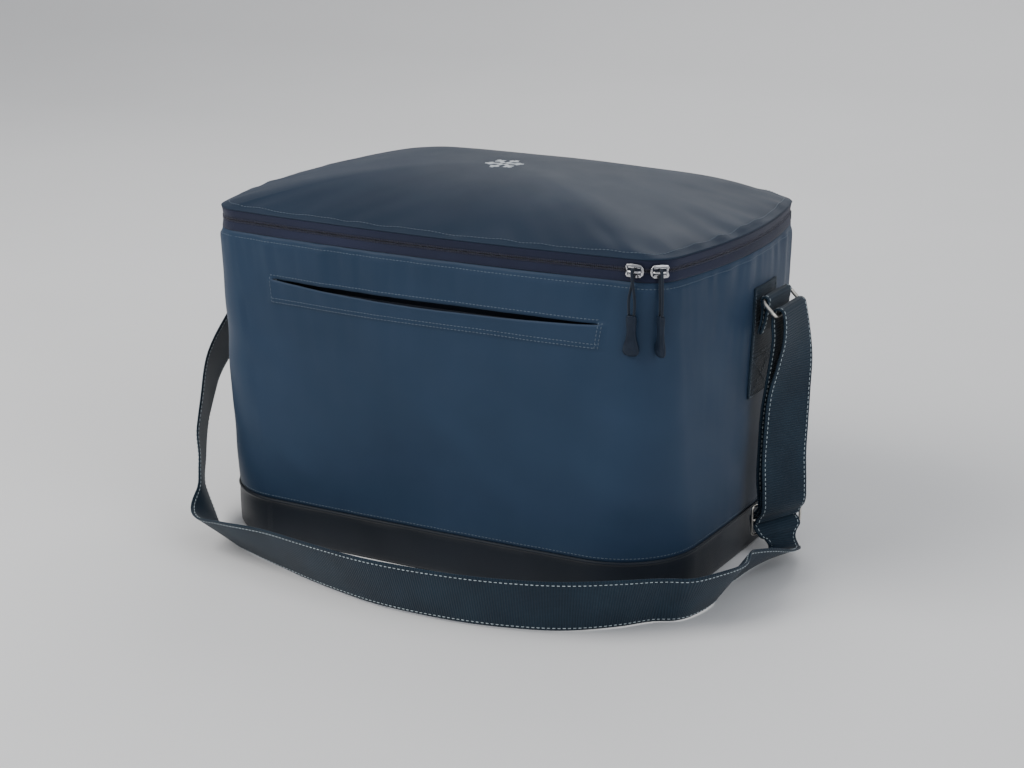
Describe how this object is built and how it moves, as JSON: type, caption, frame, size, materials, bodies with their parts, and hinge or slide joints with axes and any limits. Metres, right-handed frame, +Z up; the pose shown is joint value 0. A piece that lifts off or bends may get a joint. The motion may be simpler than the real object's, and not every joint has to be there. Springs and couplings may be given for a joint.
{
  "type": "insulated cooler bag",
  "caption": "Soft insulated cooler bag with a hinged zip lid, front slot pocket, foil-lined foam walls and a webbing shoulder strap on wire rings.",
  "frame": {"origin": "middle of the base, on the floor it stands on", "axes": "+X along the length to the adjuster side, +Y towards the lid hinge, +Z up"},
  "size_m": [0.5466, 0.3979, 0.315],
  "materials": {
    "shell": "satin",
    "base_fabric": "coated",
    "foam": "matte",
    "board": "matte",
    "liner_film": "gloss",
    "binding": "woven",
    "zip_tape": "woven",
    "zip_coil": "satin",
    "webbing": "woven",
    "ring_metal": "satin",
    "slider_metal": "polished",
    "puller_cord": "woven",
    "grip_rubber": "satin"
  },
  "bodies": {
    "bag": {"outer_wrap": "shell", "base_band": "base_fabric", "base_panel": "base_fabric", "base_board": "board", "base_foam": "foam", "foam_wall": "foam", "liner_tub": "liner_film", "rim_binding": "binding", "pocket_welt": "shell", "pocket_pouch": "binding", "zip_tape_lower": "zip_tape", "zip_coil_lower": "zip_coil", "hinge_tape_lower": "binding", "zip_end_tab_left": "binding", "zip_end_tab_right": "binding", "anchor_patch_left": "webbing", "anchor_patch_right": "webbing"},
    "lid": {"lid_panel": "shell", "lid_foam": "foam", "lid_liner": "liner_film", "lid_binding": "binding", "zip_tape_upper": "zip_tape", "zip_coil_upper": "zip_coil", "hinge_tape_upper": "binding"},
    "slider_left": {"zip_slider_left": "slider_metal"},
    "slider_right": {"zip_slider_right": "slider_metal"},
    "puller_left": {"puller_cord_left": "puller_cord", "puller_grip_left": "grip_rubber"},
    "puller_right": {"puller_cord_right": "puller_cord", "puller_grip_right": "grip_rubber"},
    "strap": {"strap_webbing": "webbing", "tab_loop_left": "webbing", "tab_loop_right": "webbing"},
    "ring_left": {"ring_left": "ring_metal"},
    "ring_right": {"ring_right": "ring_metal"},
    "adjuster": {"strap_adjuster": "ring_metal"}
  },
  "joints": [
    {"name": "lid_hinge", "type": "hinge", "parent": "bag", "child": "lid", "pos_m": [0, 0.1445, 0.2715], "axis": [-1, 0, 0], "range_deg": [0, 180]},
    {"name": "slider_left_travel", "type": "hinge", "parent": "bag", "child": "slider_left", "pos_m": [0, 1.7965, 0.2715], "axis": [0, 0, -1], "range_deg": [0, 9.8]},
    {"name": "slider_right_travel", "type": "hinge", "parent": "bag", "child": "slider_right", "pos_m": [0.1824, -0.10678, 0.2715], "axis": [0, 0, 1], "range_deg": [0, 26]},
    {"name": "puller_left_swing", "type": "hinge", "parent": "slider_left", "child": "puller_left", "pos_m": [0.18404, -0.14048, 0.2715], "axis": [-0.9955, -0.0946, 0], "range_deg": [0, 150]},
    {"name": "puller_right_swing", "type": "hinge", "parent": "slider_right", "child": "puller_right", "pos_m": [0.20406, -0.1326, 0.2715], "axis": [-0.766, -0.6428, 0], "range_deg": [0, 150]},
    {"name": "strap_swing", "type": "hinge", "parent": "bag", "child": "strap", "pos_m": [0, 0.03, 0.21655], "axis": [-1, 0, 0], "range_deg": [0, 150]},
    {"name": "ring_left_tilt", "type": "hinge", "parent": "strap", "child": "ring_left", "pos_m": [-0.232, 0.03, 0.222], "axis": [0, -1, 0], "range_deg": [-5, 3]},
    {"name": "ring_right_tilt", "type": "hinge", "parent": "strap", "child": "ring_right", "pos_m": [0.232, 0.03, 0.222], "axis": [0, 1, 0], "range_deg": [-5, 3]},
    {"name": "adjuster_rock", "type": "hinge", "parent": "strap", "child": "adjuster", "pos_m": [0.239, 0.03, 0.034], "axis": [0.419, 0.908, 0], "range_deg": [-3, 3]}
  ]
}
